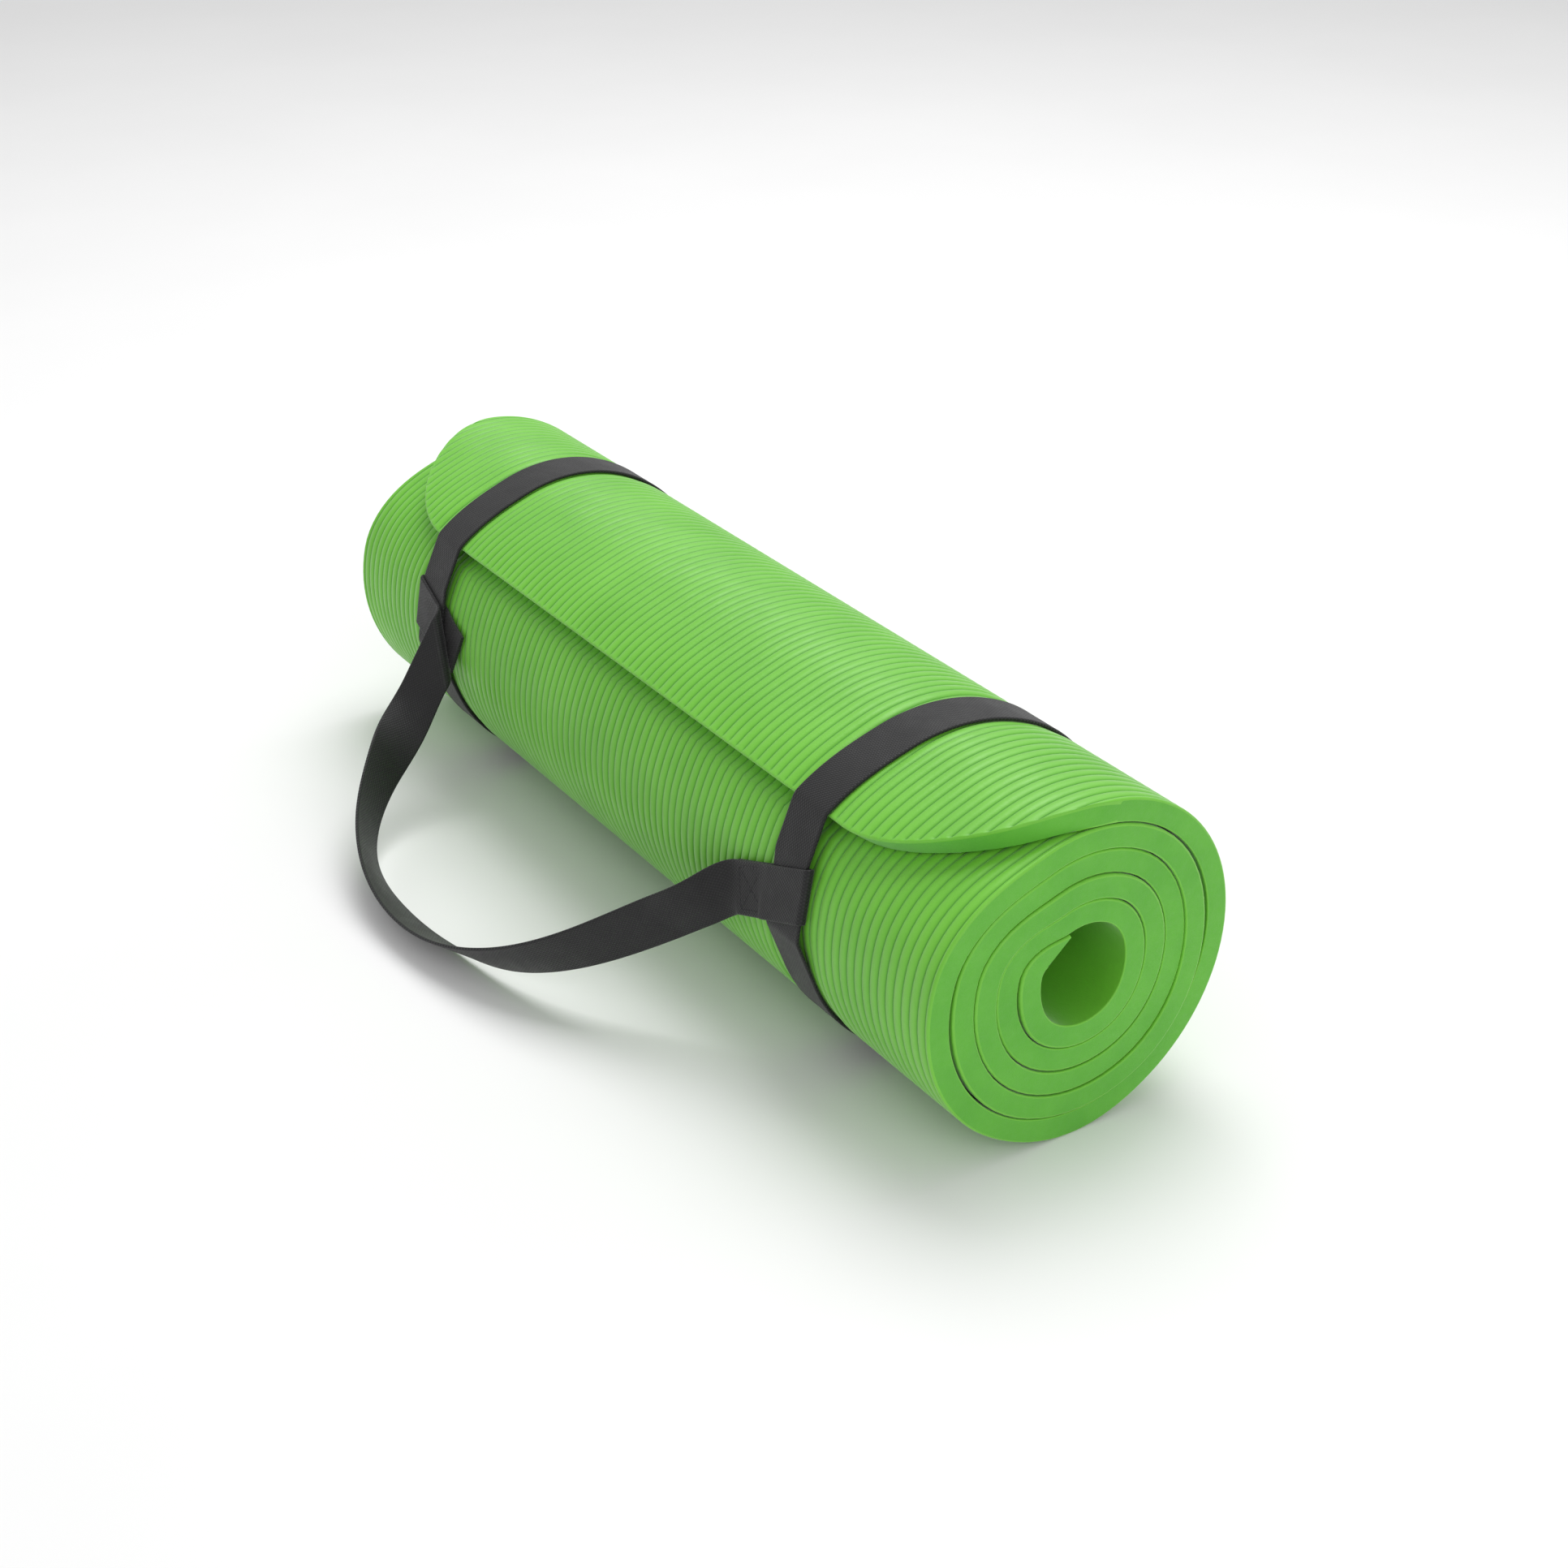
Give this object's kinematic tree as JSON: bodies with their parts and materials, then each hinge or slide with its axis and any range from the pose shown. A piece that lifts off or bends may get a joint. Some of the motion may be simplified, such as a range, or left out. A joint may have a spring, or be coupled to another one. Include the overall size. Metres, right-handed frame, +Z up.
{
  "type": "rolled exercise mat with carry strap",
  "caption": "Ribbed foam exercise mat rolled up on itself, held by flat webbing bands round the roll, with a loose webbing carry handle sewn between them",
  "frame": {"origin": "on the floor under the middle of the roll: X 0 is the middle of the mat's width, Y 0 the roll's axis", "axes": "X along the roll, Y across it with the handle on the -Y side, Z up"},
  "size_m": [0.61, 0.2979, 0.184],
  "materials": {
    "foam": "lime green closed-cell foam, matt, finely ribbed on its outer face",
    "webbing": "black woven webbing, dull sheen",
    "thread": "black sewing thread"
  },
  "bodies": {
    "roll": {"mat": "foam"},
    "strap": {"near_band": "webbing", "far_band": "webbing", "near_sleeve": "webbing", "far_sleeve": "webbing", "near_lap_stitching": "thread", "far_lap_stitching": "thread", "near_sleeve_stitching": "thread", "far_sleeve_stitching": "thread"},
    "handle": {"carry_handle": "webbing"}
  },
  "joints": [
    {"name": "strap_slide", "type": "slide", "parent": "roll", "child": "strap", "axis": [1, 0, 0], "range_m": [-0.09, 0.53]},
    {"name": "handle_swing", "type": "hinge", "parent": "strap", "child": "handle", "pos_m": [-0.024, -0.119, 0.072], "axis": [-1, 0, 0], "range_deg": [0, 90]}
  ]
}
